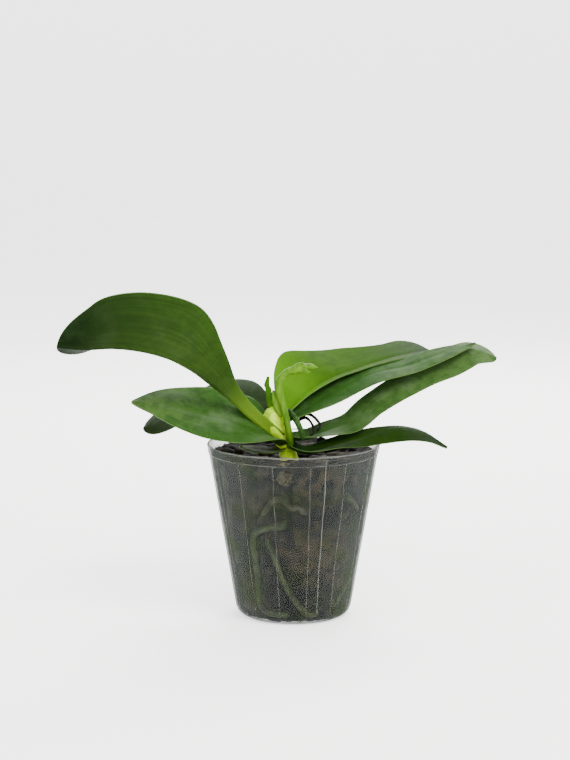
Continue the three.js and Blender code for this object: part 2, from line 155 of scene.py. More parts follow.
def pigment(hex_colour, share=PIGMENT_SHARE):
    """A plant's colour, darkened to suit the bright studio."""
    return (*[share * value for value in linear(hex_colour)[:3]], 1.0)


def empty_shape(uv_name):
    """A bmesh with nothing in it yet but a UV map, which its grids will fill."""
    shape = bmesh.new()
    shape.loops.layers.uv.new(uv_name)
    return shape


def verts_in(geometry):
    """The vertices in a mixed list of vertices, edges and faces."""
    return [item for item in geometry if isinstance(item, bmesh.types.BMVert)]


def finished(shape, name):
    """Turns a bmesh into a smooth object at the origin."""
    mesh = bpy.data.meshes.new(name)
    shape.to_mesh(mesh)
    shape.free()
    made = bpy.data.objects.new(name, mesh)
    bpy.context.scene.collection.objects.link(made)
    for face in mesh.polygons:
        face.use_smooth = True
    return made


print("helpers ready, a mid green is", [round(value, 3) for value in pigment("#4f8234")[:3]])

# %% [markdown]
# ## Floor and light
#
# The plant stands on a pale sweep that rises behind it, so that the background has no edge. A broad soft
# lamp above and to the right does most of the work, a second one from the left opens the shadows, and a
# third from behind makes thin leaves glow along their edges. A pale sky fills in the rest. The paper is
# lit through from behind, so it glows a little.

# %% Make the sweep and the lamps
# The sweep and the lamps are furniture, so they are in metres
SKY_STRENGTH = 1.7
PAPER_GLOW = 1.2
SWEEP_HALF_WIDTH = 9.0
SWEEP_FRONT = -9.0
SWEEP_BACK = 1.6
SWEEP_CURVE = 0.8
SWEEP_WALL = 3

# Each lamp as name, place, size, power in watts and colour
LAMPS = [
    ("key", (0.7, -0.9, 1.5), 1.0, 44, (1.0, 0.98, 0.94)),
    ("fill", (-1.3, -0.9, 0.7), 1.2, 14, (0.95, 0.98, 1.0)),
    ("back", (0.2, 1.1, 1.0), 0.9, 26, (1.0, 1.0, 0.97)),
]

sweep_shape = bmesh.new()
corner = sweep_shape.verts.new((-SWEEP_HALF_WIDTH, SWEEP_FRONT, 0))
knee = sweep_shape.verts.new((-SWEEP_HALF_WIDTH, SWEEP_BACK, 0))
sweep_shape.edges.new((corner, knee))
bmesh.ops.spin(
    sweep_shape, geom=[knee], cent=(0, SWEEP_BACK, SWEEP_CURVE), axis=(1, 0, 0),
    angle=math.pi / 2, steps=16,
)
top = max(sweep_shape.verts, key=lambda v: v.co.z)
wall_top = sweep_shape.verts.new(top.co + Vector((0, 0, SWEEP_WALL)))
sweep_shape.edges.new((top, wall_top))
widened = bmesh.ops.extrude_edge_only(sweep_shape, edges=list(sweep_shape.edges))["geom"]
bmesh.ops.translate(sweep_shape, vec=(2 * SWEEP_HALF_WIDTH, 0, 0), verts=verts_in(widened))
bmesh.ops.recalc_face_normals(sweep_shape, faces=list(sweep_shape.faces))
sweep = finished(sweep_shape, "sweep")
paper, tree = material_with_tree("matt_white_paper")
surface(
    tree,
    {
        "Base Color": linear("#f4f4f2"), "Roughness": 0.9,
        "Emission Color": linear("#ffffff"), "Emission Strength": PAPER_GLOW,
    },
)
sweep.data.materials.append(paper)

for lamp_name, place, size, power, colour in LAMPS:
    lamp = bpy.data.lights.new(lamp_name, "AREA")
    lamp.shape = "DISK"
    lamp.size = size
    lamp.energy = power
    lamp.color = colour
    lamp_object = bpy.data.objects.new(lamp_name, lamp)
    lamp_object.location = place
    look(lamp_object, Vector((0, 0, 0.15)))
    bpy.context.scene.collection.objects.link(lamp_object)

world = bpy.data.worlds.new("pale_sky")
bpy.context.scene.world = world
world.use_nodes = True
sky = world.node_tree.nodes["Background"]
sky.inputs["Color"].default_value = linear("#f2f5f7")
sky.inputs["Strength"].default_value = SKY_STRENGTH
print("lamps:", len(LAMPS))

# %% [markdown]
# ## Smooth lines through a few points
#
# A leaf's midrib, a root and a stalk all follow a line that grew smoothly. A gardener would describe it
# by a few points, so the script keeps those points and draws a smooth curve through them. The curve is
# then walked in equal steps, and a frame of three arrows is carried along it, so that a tube around it
# doesn't twist.

# %% Walk along a curve
FINE_STEPS = 24


def curve_through(points):
    """Many close points of a smooth curve through a few points, in metres."""
    known = [Vector(p) * MM for p in points]
    known = [2 * known[0] - known[1], *known, 2 * known[-1] - known[-2]]
    fine = []
    for i in range(1, len(known) - 2):
        p0, p1, p2, p3 = known[i - 1:i + 3]
        t1 = (p1 - p0).length ** 0.5
        t2 = t1 + (p2 - p1).length ** 0.5
        t3 = t2 + (p3 - p2).length ** 0.5
        for k in range(FINE_STEPS):
            t = t1 + (t2 - t1) * k / FINE_STEPS
            a1 = p0.lerp(p1, t / t1)
            a2 = p1.lerp(p2, (t - t1) / (t2 - t1))
            a3 = p2.lerp(p3, (t - t2) / (t3 - t2))
            b1 = a1.lerp(a2, t / t2)
            b2 = a2.lerp(a3, (t - t1) / (t3 - t1))
            fine.append(b1.lerp(b2, (t - t1) / (t2 - t1)))
    fine.append(known[-2])
    return fine


def even_points(fine, shares):
    """Points on a fine line at shares of its length, with the line's direction there."""
    run = [0.0]
    for a, b in zip(fine, fine[1:]):
        run.append(run[-1] + (b - a).length)
    found = []
    k = 0
    for share in shares:
        want = share * run[-1]
        while k < len(run) - 2 and run[k + 1] < want:
            k += 1
        step = fine[k + 1] - fine[k]
        point = fine[k] + step * ((want - run[k]) / (run[k + 1] - run[k]))
        before = fine[max(k - 2, 0)]
        after = fine[min(k + 3, len(fine) - 1)]
        found.append((point, (after - before).normalized()))
    return found, run[-1]


def along(values, s):
    """The value at share s of the way along values spread evenly from start to end."""
    last = len(values) - 1
    x = min(max(s, 0), 1) * last
    i = min(int(x), last - 1)
    t = x - i
    b, c = values[i], values[i + 1]
    a = values[i - 1] if i > 0 else 2 * b - c
    d = values[i + 2] if i + 2 <= last else 2 * c - b
    cubic = (2 * a - 5 * b + 4 * c - d) * t ** 2 + (3 * b - a - 3 * c + d) * t ** 3
    return 0.5 * (2 * b + (c - a) * t + cubic)


test_line, test_length = even_points(curve_through([(0, 0, 0), (0, 0, 10)]), [0, 0.5, 1])
print("a 10 mm line measures", round(test_length / MM, 2), "mm")

# %% [markdown]
# ## Waxy leaf skin
#
# A moth orchid's leaf is thick and full of water. Its skin is smooth with a thin wax, so it has a broad
# satin highlight and no sharp mirror image. The upper side is mottled in two greens, as this species is
# known for, with fine veins that run from base to tip, and it grows yellow towards the stem where light
# has not darkened it. The underside is plainer. Whitish clouds lie over the skin: partly a dull bloom of
# wax, partly a painted sheen of light. The pattern follows the blade's own UV map: across the blade from
# 0 to 1, and from base to tip from 0 to 1.

# %% Make leaf skins
MOTTLE_MM = 9
BLOOM_AND_SHEEN_MM = 26
VEINS_ACROSS = 46
VEINS_ALONG = 2.5
PORE_MM = 0.9
# Whitish colour of the clouds, which are partly wax bloom and partly a painted sheen of light
BLOOM_AND_SHEEN_COLOUR = "#a3bd8f"


def leaf_skin(name, base, body, dark, far, base_ends=0.36, bloom_and_sheen=0.12, rough=0.48, mottle=0.6, shine=0.03):
    """Leaf skin that runs from a base colour at the stem through its body colour to the far end."""
    material, tree = material_with_tree(name)
    uv = node(tree, "ShaderNodeUVMap", {"uv_map": "blade"}).outputs[0]
    place = node(tree, "ShaderNodeTexCoord").outputs["Object"]
    length = node(tree, "ShaderNodeSeparateXYZ", links={0: uv}).outputs[1]

    # The green of the blade turns slowly from its middle to its far end
    far_share = ranged(tree, length, 0.35, 0.95, curve="SMOOTHSTEP")
    colour = mixed(tree, far_share, pigment(body), pigment(far))

    # Dark mottles, as the upper side of this species has
    patch = clouds(tree, place, MOTTLE_MM, detail=5.0, roughness=0.6, distortion=0.6)
    patch_share = ranged(tree, patch, 0.42, 0.62, end=mottle, curve="SMOOTHSTEP")
    colour = mixed(tree, patch_share, colour, pigment(dark))

    # Fine veins, as noise drawn out along the blade
    drawn_out = node(tree, "ShaderNodeMapping", {"Scale": (VEINS_ACROSS, VEINS_ALONG, 1)}, {"Vector": uv})
    veins = node(
        tree, "ShaderNodeTexNoise", {"Scale": 1.0, "Detail": 2.0}, {"Vector": drawn_out.outputs[0]},
    ).outputs[0]
    vein_share = ranged(tree, veins, 0.35, 0.75, end=0.35)
    colour = mixed(tree, vein_share, colour, pigment(far))

    # Yellow-green towards the stem
    base_share = ranged(tree, length, 0.1 * base_ends, base_ends, start=1.0, end=0.0, curve="SMOOTHSTEP")
    colour = mixed(tree, base_share, colour, pigment(base))

    # Whitish clouds: partly a bloom of dull wax, partly a painted sheen of light
    cloud = clouds(tree, place, BLOOM_AND_SHEEN_MM, detail=6.0, roughness=0.65)
    bloom_and_sheen_share = ranged(tree, cloud, 0.48, 0.72, end=bloom_and_sheen)
    colour = mixed(tree, bloom_and_sheen_share, colour, pigment(BLOOM_AND_SHEEN_COLOUR))

    # Pores and veins stand out a little, and the skin is duller under the whitish clouds
    pores = clouds(tree, place, PORE_MM)
    relief = node(tree, "ShaderNodeMath", {"operation": "MULTIPLY_ADD", 1: 0.25}, {0: pores, 2: veins})
    bump = node(
        tree, "ShaderNodeBump", {"Strength": 0.15, "Distance": 0.4 * MM}, {"Height": relief.outputs[0]},
    )
    gloss = ranged(tree, cloud, 0.0, 1.0, start=rough - 0.05, end=rough + 0.12)
    surface(
        tree,
        {
            "IOR": 1.42, "Specular IOR Level": shine,
            "Subsurface Weight": 0.1, "Subsurface Scale": 4 * MM, "Subsurface Radius": (0.6, 1.0, 0.2),
        },
        {"Base Color": colour, "Roughness": gloss, "Normal": bump.outputs[0]},
    )
    return material


print("leaf skin: mottles", MOTTLE_MM, "mm across")

# %% [markdown]
# ## Skins of everything else that grew
#
# Sheaths, stalks, roots, moss and bark have one thing in common: their colour drifts in patches, with a
# fine grain on top. One recipe covers them. It takes three colours from low to high, the size of the
# patches and of the grain in millimetres, and how far both are drawn out along the piece's height. A
# vertex attribute may shift the colour: 0 towards the low colour, 0.5 not at all, 1 towards the high one.

# %% Make a grown skin
GRAIN_SHARE = 0.4
TONE_SHARE = 0.5


def grown_skin(
    name, colours, patch_mm, grain_mm, relief_mm, rough, draw_out=1.0, shine=0.1, tone=None,
    share=PIGMENT_SHARE,
):
    """Skin whose colour drifts in patches through three colours, with a fine grain in relief."""
    material, tree = material_with_tree(name)
    place = node(tree, "ShaderNodeTexCoord").outputs["Object"]
    squeezed = node(
        tree, "ShaderNodeMapping", {"Scale": (1, 1, 1 / draw_out)}, {"Vector": place},
    ).outputs[0]
    patch = clouds(tree, squeezed, patch_mm, detail=3.0)
    grain = clouds(tree, squeezed, grain_mm, detail=4.0, roughness=0.6)
    height = node(
        tree, "ShaderNodeMix", {"data_type": "FLOAT", 0: GRAIN_SHARE}, {2: patch, 3: grain},
    ).outputs[0]
    if tone:
        own = node(tree, "ShaderNodeAttribute", {"attribute_name": tone})
        shifted = node(
            tree, "ShaderNodeMath", {"operation": "MULTIPLY_ADD", 1: TONE_SHARE},
            {0: own.outputs["Fac"], 2: height},
        )
        height = node(
            tree, "ShaderNodeMath", {"operation": "SUBTRACT", 1: TONE_SHARE / 2}, {0: shifted.outputs[0]},
        ).outputs[0]
    ramp = node(tree, "ShaderNodeValToRGB", links={0: height})
    low, high = ramp.color_ramp.elements
    low.position, low.color = 0.36, pigment(colours[0], share)
    high.position, high.color = 0.66, pigment(colours[2], share)
    ramp.color_ramp.elements.new(0.5).color = pigment(colours[1], share)
    bump = node(tree, "ShaderNodeBump", {"Strength": 0.7, "Distance": relief_mm * MM}, {"Height": grain})
    surface(
        tree, {"Roughness": rough, "Specular IOR Level": shine},
        {"Base Color": ramp.outputs[0], "Normal": bump.outputs[0]},
    )
    return material


# The cut edge of a leaf shows its pale flesh through a thin skin, so it draws a light line
leaf_margin = grown_skin("pale_leaf_margin", ("#4f7c26", "#6a9534", "#86a84e"), 9, 1.5, 0.05, 0.4, shine=0.2)
print("leaf margin:", leaf_margin.name)

# %% [markdown]
# ## Leaf blades
#
# Each blade is a grid bent to shape. Its midrib is a smooth line, and both halves fold up from it like
# an open book. The whole blade may also roll to one side, and a half may curl up towards its margin. A
# Solidify modifier then gives it flesh, thick along the midrib and thin at the margin, and a Subdivision
# Surface modifier rounds it. A grid was chosen because its rows and columns give the blade a clean UV
# map, along which veins can run.

# %% Leaf sizes
# Every list runs from the stem to the tip. midrib has points to the right, to the back and up. left and
# right are the widths of the two halves, as seen along the blade. fold, roll and curl are in degrees. A
# higher blunt keeps the blade wide until nearer its tip, and base_ends is where its yellow base ends, as
# a share of the blade. upper and under are the colours at the stem, of the blade, of its mottles, and of
# its far end.
# bloom_and_sheen is how strongly whitish clouds lie over the upper side: wax bloom with a painted sheen of
# light. Some colours are darkened as painted shade, as noted at their leaf.
LEAVES = {
    "leaf_left_top": {
        "midrib": [
            (-11, -6, 126), (-22, -9, 136), (-33, -13, 146), (-47, -20, 161), (-61, -30, 175),
            (-79, -42, 187), (-99, -52, 195), (-121, -60, 199), (-141, -66, 199), (-159, -70, 201),
        ],
        "left": [8, 8, 11, 25, 44.5, 49.5, 51, 48],
        "right": [6, 7, 9, 16, 26, 32, 32, 30],
        "fold": [40, 34, 34, 34, 30, 16],
        "roll": [14, 30, 30, 30, 32, 42],
        "curl": [-4, -6],
        "blunt": 7,
        "base_ends": 0.24,
        "upper": ("#7fa034", "#2f5a20", "#1f4018", "#3a6828"),
        # The underside runs from its own yellow-green at the stem to a near-black far end; the dark far end
        # is painted shade, as the blade there faces down and away from the lamps
        "under": ("#a8dc38", "#4a6c26", "#2c4c1a", "#12270b"),
    },
    "leaf_left_low": {
        "midrib": [
            (-8, -5, 122), (-27, -14, 134), (-48, -18, 142),
            (-72, -20, 148), (-93, -22, 154), (-113, -24, 156),
        ],
        "left": [8, 25, 26, 22.5, 15.5, 6],
        "right": [8, 26, 28, 27, 19, 6],
        "fold": [35, 12, 4, 0],
        "roll": [-15, -32, -34, -30],
        "curl": [0, -8],
        "blunt": 12,
        # Strong whitish clouds: wax bloom and hard-water marks, with a painted sheen of light over them
        "bloom_and_sheen": 0.4,
        "upper": ("#4e8030", "#487a2a", "#2c5a1c", "#739b4e"),
        "under": ("#5d8a30", "#375f20", "#284c18", "#4a7034"),
    },
    "leaf_left_back": {
        "midrib": [
            (-10, 3, 128), (-25, 26, 142), (-52, 42, 147), (-77, 48, 140), (-98, 50, 131), (-110, 50, 124),
        ],
        "left": [6, 18, 26, 27, 25, 22],
        "right": [8, 10, 26, 32, 28, 22],
        "fold": [40, 26, 10, 0],
        "roll": [0, -12, -14, -22],
        "curl": [-10, -20],
        "blunt": 7,
        # Both sides are a darkened olive green: painted shade, for the shadow of the low left leaf above it
        "upper": ("#4c6630", "#2c4a18", "#1a3210", "#223609"),
        "under": ("#5d8a30", "#28421a", "#1a2f10", "#2f4f1c"),
    },
    "leaf_right_top": {
        "midrib": [(-9, -1, 139), (7, 14, 154), (23, 26, 163), (43, 38, 169), (71, 52, 176), (100, 62, 181)],
        "left": [8, 16.5, 29.5, 37.5, 34.5, 32.5, 30, 25.5, 24.5, 30.5, 34],
        "right": [5, 7, 9, 11, 12, 12, 12, 12, 12, 11, 9],
        "fold": [45, 30, 18, 12, 6],
        "roll": [10, 14, 8, 8, 6],
        "blunt": 13,
        "bloom_and_sheen": 0.04,
        "shine": 0.012,
        # Its bright yellow-green is partly the leaf's own colour and partly painted light shining through
        # the blade from behind
        "upper": ("#84cc20", "#5c8e20", "#487818", "#2f4d19"),
        "under": ("#6b9b35", "#3d6a25", "#2b5019", "#4c7a30"),
    },
    "leaf_right_mid": {
        "midrib": [
            (-9, -2, 136), (18, 10, 151), (37, 19, 161), (61, 27, 169),
            (83, 33, 173), (108, 40, 181), (133, 48, 188),
        ],
        "left": [7, 11, 12, 12.5, 13, 12.5, 9],
        "right": [6, 12, 15, 14, 12, 12, 8],
        "fold": [30, 4, 2, 2, 2],
        "roll": [14, 18, 18, 18, 12],
        "blunt": 6,
        # Whitish clouds: wax bloom with a painted sheen of light on the near half
        "bloom_and_sheen": 0.25,
        "upper": ("#3f7028", "#44752a", "#28541a", "#54803a"),
        "under": ("#5c8a35", "#3a6224", "#294a19", "#46702c"),
    },
    "leaf_right_low": {
        "midrib": [
            (-6, -1, 126), (8, 1, 126), (23, 5, 130), (41, 14, 136), (53, 21, 148),
            (67, 28, 158), (86, 37, 168), (107, 44, 176.5), (129, 50, 183), (149, 54, 176),
        ],
        "left": [6, 10.5, 9, 6.5, 7, 12, 22],
        "right": [5, 9.5, 12.5, 13.5, 16, 18, 19.5, 21, 19.5, 12],
        "fold": [32, 14, -3, -6, -6, -8, -4],
        "roll": [6, 17, 26, 28, 28, 26, 26],
        "blunt": 13,
        # Whitish clouds: wax bloom with a painted sheen of light on the near half
        "bloom_and_sheen": 0.35,
        "upper": ("#446f2c", "#5a823c", "#365f24", "#6f9650"),
        "under": ("#5c8a35", "#3f6a2a", "#2d501c", "#4c7a33"),
    },
    "leaf_right_rim": {
        "midrib": [
            (-5, -3, 124), (1, -7, 120), (8, -8, 117.5), (17, -5, 118), (29, -1, 121),
            (45, 4, 124.5), (60, 8, 129), (78, 13, 131), (95, 19, 126), (111, 24, 115),
        ],
        "left": [4, 6, 8, 9, 6, 5, 7, 5.5],
        "right": [4, 6, 8, 11.5, 14, 14.5, 12, 7],
        "fold": [35, 21, 2, -8, -4],
        "roll": [10, 18, 26, 21, 16],
        "blunt": 8,
        "bloom_and_sheen": 0.05,
        "shine": 0.015,
        # The upper side is nearly black-green: painted shade, as its visible upper side lies in the shadow
        # of the leaves above it
        "upper": ("#1c3a10", "#355816", "#284812", "#1c330a"),
        "under": ("#4d7a2c", "#3c6322", "#2c4c18", "#4a7029"),
    },
    "leaf_basal": {
        "midrib": [(-7, -3, 119.5), (-13, -10, 118.5), (-23, -16, 120), (-38, -22, 124)],
        "left": [4, 7, 8, 5],
        "right": [4, 7, 8, 5],
        "fold": [20, 8, 0],
        "roll": [0, -10, -10],
        "blunt": 6,
        "upper": ("#5a6a26", "#4d6426", "#33491c", "#6f8040"),
        "under": ("#5a6a26", "#46602a", "#33491c", "#5f7036"),
    },
    "leaf_new": {
        "midrib": [(-15.5, -3, 144), (-17.8, -3, 154), (-18.5, -3, 163), (-18, -4, 171)],
        "left": [3, 3.5, 3.2, 1.6],
        "right": [3, 3.5, 3.2, 1.6],
        "fold": [60, 60, 50],
        "roll": [0, 0, 0],
        "blunt": 6,
        "upper": ("#86b820", "#5fa01c", "#4c8c18", "#6aa524"),
        "under": ("#86b820", "#5c9c1c", "#4a8a18", "#68a022"),
    },
}
LEAF_THICK = 2.4
MARGIN_THICK = 0.9
TIP_HALF_WIDTH = 1.0
TIP_CROWDING = 1.4
MIDRIB_CROWDING = 1.2
GROOVE_DEEP = 0.5
GROOVE_HALF_WIDTH = 2.2
SWELL = 0.5
SWELLS_PER_M = 45
print("leaves:", len(LEAVES))

# %% Bend a grid into a blade
BLADE_COLUMNS = 24
BLADE_ROWS = 56


def dress(piece, node_name):
    """Lets a piece ride on the plant in place of its plain node."""
    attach(piece, "root")
    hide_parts(node_name)


def leaf_blade(name, leaf):
    """A leaf's blade with flesh, from its midrib and the values along it."""
    shape = empty_shape("blade")
    bmesh.ops.create_grid(shape, x_segments=BLADE_COLUMNS, y_segments=BLADE_ROWS, size=1, calc_uvs=True)
    flesh = {}
    shares = [1 - (1 - row / BLADE_ROWS) ** TIP_CROWDING for row in range(BLADE_ROWS + 1)]
    stations, length = even_points(curve_through(leaf["midrib"]), shares)
    for vert in shape.verts:
        row = round((vert.co.y + 1) / 2 * BLADE_ROWS)
        share = -math.copysign(abs(vert.co.x) ** MIDRIB_CROWDING, vert.co.x)
        side = (share > 1e-6) - (share < -1e-6)
        s = shares[row]
        middle, tangent = stations[row]
        left = Vector((0, 0, 1)).cross(tangent).normalized()
        normal = tangent.cross(left)
        rounding = math.sqrt(max(1 - s ** leaf["blunt"], 0))
        widths = leaf["left"] if side > 0 else leaf["right"]
        reach = max(along(widths, s) * rounding, TIP_HALF_WIDTH) * MM * abs(share)
        lift = math.radians(along(leaf["fold"], s) + side * along(leaf["roll"], s))
        curl = math.radians(along(leaf.get("curl", [0, 0]), s)) * abs(share)
        face = normal * math.cos(lift + curl) - left * (side * math.sin(lift + curl)) if side else normal
        lift += curl / 2
        vert.co = middle + left * (side * reach * math.cos(lift)) + normal * (reach * math.sin(lift))
        groove = GROOVE_DEEP * math.exp(-(reach / (GROOVE_HALF_WIDTH * MM)) ** 2) * min(4 * (1 - s), 1)
        swell = SWELL * noise.noise(vert.co * SWELLS_PER_M) * abs(share)
        vert.co += face * ((swell - groove) * MM)
        flesh[vert] = MARGIN_THICK + (LEAF_THICK - MARGIN_THICK) * (1 - abs(share)) ** 1.5
    weights = [flesh[vert] / LEAF_THICK for vert in shape.verts]
    blade = finished(shape, name + "_blade")
    group = blade.vertex_groups.new(name="flesh")
    for index, weight in enumerate(weights):
        group.add([index], weight, "REPLACE")
    solid = blade.modifiers.new("flesh", "SOLIDIFY")
    solid.thickness = LEAF_THICK * MM
    solid.offset = 0
    solid.vertex_group = "flesh"
    solid.material_offset = 1
    solid.material_offset_rim = 2
    smooth = blade.modifiers.new("round", "SUBSURF")
    smooth.levels = smooth.render_levels = 1
    blade.data.materials.append(
        leaf_skin(
            name + "_waxy_upper_skin", *leaf["upper"], leaf.get("base_ends", 0.36),
            bloom_and_sheen=leaf.get("bloom_and_sheen", 0.12), shine=leaf.get("shine", 0.03),
        )
    )
    blade.data.materials.append(
        leaf_skin(
            name + "_dull_underside", *leaf["under"], leaf.get("base_ends", 0.36),
            bloom_and_sheen=0.05, rough=0.55, mottle=0.3, shine=0.02,
        )
    )
    blade.data.materials.append(leaf_margin)
    dress(blade, name)
    return blade, length


for leaf_name, leaf in LEAVES.items():
    made, leaf_length = leaf_blade(leaf_name, leaf)
    print(made.name, round(leaf_length / MM), "mm long")

# %% [markdown]
# ## Round bodies along a line
#
# Stalks and roots are round bodies that follow a line. A grid is rolled up around the line: its columns
# run around the body and its rows along it. The first and the last rows close in on the line, which
# rounds both ends. The two long edges of the grid and the closed rows are then merged.

# %% Roll a grid around a line
ROUND_END_ROWS = 5
TUBE_BUMPS_PER_M = 220


def add_tube(shape, points, radii, around=14, row_mm=2.0, wobble=0.05, flat=1.0):
    """Adds a round body with rounded ends. flat below 1 makes it thinner from front to back."""
    fine = curve_through(points)
    length = even_points(fine, [0, 1])[1]
    turns = [k / (ROUND_END_ROWS - 1) * math.pi / 2 for k in range(ROUND_END_ROWS)]
    first, last = along(radii, 0) * MM, along(radii, 1) * MM
    middle = max(2, round((length - first - last) / (row_mm * MM)))
    starts = [first * (1 - math.cos(turn)) for turn in turns]
    middles = [first + (length - first - last) * k / middle for k in range(1, middle)]
    ends = [length - last * (1 - math.cos(turn)) for turn in reversed(turns)]
    closing = [math.sin(turn) for turn in turns]
    shrink = closing + [1] * len(middles) + closing[::-1]
    runs = [run / length for run in starts + middles + ends]

    stations = []
    side = None
    for point, tangent in even_points(fine, runs)[0]:
        side = side or tangent.orthogonal()
        side = (side - tangent * side.dot(tangent)).normalized()
        stations.append((point, side, tangent.cross(side)))
    rows = len(runs) - 1
    made = bmesh.ops.create_grid(shape, x_segments=around, y_segments=rows, size=1, calc_uvs=True)["verts"]
    for vert in made:
        row = round((vert.co.y + 1) / 2 * rows)
        angle = math.pi * (round((vert.co.x + 1) / 2 * around) % around) * 2 / around
        point, side, up = stations[row]
        out = side * math.cos(angle) + up * math.sin(angle)
        radius = along(radii, runs[row]) * shrink[row] * MM
        radius *= 1 + wobble * noise.noise((point + out * radius) * TUBE_BUMPS_PER_M)
        if flat < 1:
            out = Vector((out.x, out.y * flat, out.z))
        vert.co = point + out * radius
    bmesh.ops.remove_doubles(shape, verts=made, dist=0.002 * MM)
    return length


def grown(name, shape, skin, node_name):
    """Closes a grown piece: normals outward, skin on, in place of its plain node."""
    bmesh.ops.recalc_face_normals(shape, faces=list(shape.faces))
    piece = finished(shape, name)
    piece.data.materials.append(skin)
    dress(piece, node_name)
    return piece


tube_test = empty_shape("skin")
print("a test tube is", round(add_tube(tube_test, [(0, 0, 0), (0, 0, 20)], [2, 2]) / MM), "mm long")
tube_test.free()

# %% [markdown]
# ## Stem with its sheaths
#
# A moth orchid has almost no bare stem. Each leaf clasps it with a sheath, and every sheath overlaps the
# one above, with a thin slanting edge. The stem is rolled from a grid like a tube, but its sections are
# ellipses taken from the plain model. Each sheath then pushes the skin out below its slanting edge. The
# edges of old sheaths dry to a brown line and the buried foot is pale, which is kept as a vertex
# attribute for the material.

# %% Build the stem
# Sections of the stem as height, centre to the right, centre to the back, and both radii
STEM_SECTIONS = [
    (86, -3, 0, 5.5, 5.5), (100, -3, 0, 7.4, 7.4), (107, -3, 0, 7, 7), (112, -3, 0, 5.8, 6),
    (118, -5, -0.4, 5.1, 5.6), (123, -7, -0.8, 5, 5.8), (125.5, -8.4, -1, 5.4, 6),
    (126.3, -8.9, -1.2, 6.4, 6.9),
    (131, -12, -1.8, 8.2, 7.7), (136, -13.9, -2.1, 8.7, 8), (141, -14.4, -2.4, 7.9, 7.4),
    (146, -13.8, -2.5, 6.2, 6), (151, -13.6, -2.5, 4, 3.8),
]
STEM_COLUMNS = 64
STEM_ROWS = 130

# Each sheath as height of its edge in the middle, slant in mm across the stem, where round the stem the
# edge is highest in degrees from the right, and how far it stands out in mm
SHEATHS = [(118, 3, 20, 0.5), (126, 1.5, 200, 0.9), (136, 9, 215, 0.8), (143, 8, 330, 0.6)]
SHEATH_EDGE_MM = 0.5
SHEATH_FADE_MM = 12
DRY_EDGE_MM = 0.45
STEM_PALE_BELOW = 115
STEM_PALE_FADE = 6

# The stem closes to a dome over the last share of its height, and to a point over the first
STEM_CROWN_SHARE = 1 / 12
STEM_FOOT_SHARE = 1 / 40


def stem_section(z):
    """Centre and radii of the stem at a height, straight between the plain model's sections."""
    for low, high in zip(STEM_SECTIONS, STEM_SECTIONS[1:]):
        if z <= high[0]:
            t = (z - low[0]) / (high[0] - low[0])
            return [a + (b - a) * t for a, b in zip(low[1:], high[1:])]
    return list(STEM_SECTIONS[-1][1:])


stem_shape = empty_shape("skin")
bmesh.ops.create_grid(stem_shape, x_segments=STEM_COLUMNS, y_segments=STEM_ROWS, size=1, calc_uvs=True)
stem_tone = stem_shape.verts.layers.float.new("tone")
stem_foot, stem_top = STEM_SECTIONS[0][0], STEM_SECTIONS[-1][0]
for vert in stem_shape.verts:
    run = (vert.co.y + 1) / 2
    angle = 2 * math.pi * (round((vert.co.x + 1) / 2 * STEM_COLUMNS) % STEM_COLUMNS) / STEM_COLUMNS
    z = stem_foot + (stem_top - stem_foot) * run
    x, y, radius_x, radius_y = stem_section(z)
    proud = 0
    dry = 0
    for edge_z, slant, high_at, out in SHEATHS:
        edge = edge_z + slant * math.cos(angle - math.radians(high_at)) - z
        proud += out * min(max(edge / SHEATH_EDGE_MM, 0), 1) * math.exp(-max(edge, 0) / SHEATH_FADE_MM)
        dry = max(dry, math.exp(-(edge / DRY_EDGE_MM) ** 2))
    from_crown = max(1 - (1 - run) / STEM_CROWN_SHARE, 0)
    closing = math.sqrt(max(1 - from_crown ** 2, 0)) * min(run / STEM_FOOT_SHARE, 1)
    out_x = (radius_x + proud) * closing * math.cos(angle)
    out_y = (radius_y + proud) * closing * math.sin(angle)
    vert.co = Vector((x + out_x, y + out_y, z)) * MM
    pale_foot = min(max((STEM_PALE_BELOW - z) / STEM_PALE_FADE, 0), 1)
    vert[stem_tone] = 0.5 + 0.5 * pale_foot - 0.3 * dry
bmesh.ops.remove_doubles(stem_shape, verts=list(stem_shape.verts), dist=0.002 * MM)

sheath_skin = grown_skin(
    "yellow_green_sheath_skin", ("#86ac14", "#b4de18", "#dcea62"), 5, 0.6, 0.12, 0.42,
    draw_out=9, tone="tone", share=0.88, shine=0.03,
)
stem = grown("stem_with_sheaths", stem_shape, sheath_skin, "stem")
print("stem from", stem_foot, "to", stem_top, "mm, sheaths:", len(SHEATHS))

# %% [markdown]
# ## Flower spike
#
# The spike is a juicy stalk that has only begun to grow. It has a node with a small clasping bract where
# it bends over, and its tip is a cluster of bracts that still wrap the buds. Stalk and bracts are tubes
# that thin out to a point, which is how a bract looks from outside while it is closed. A wide, flat one
# stands at its foot like a blade.

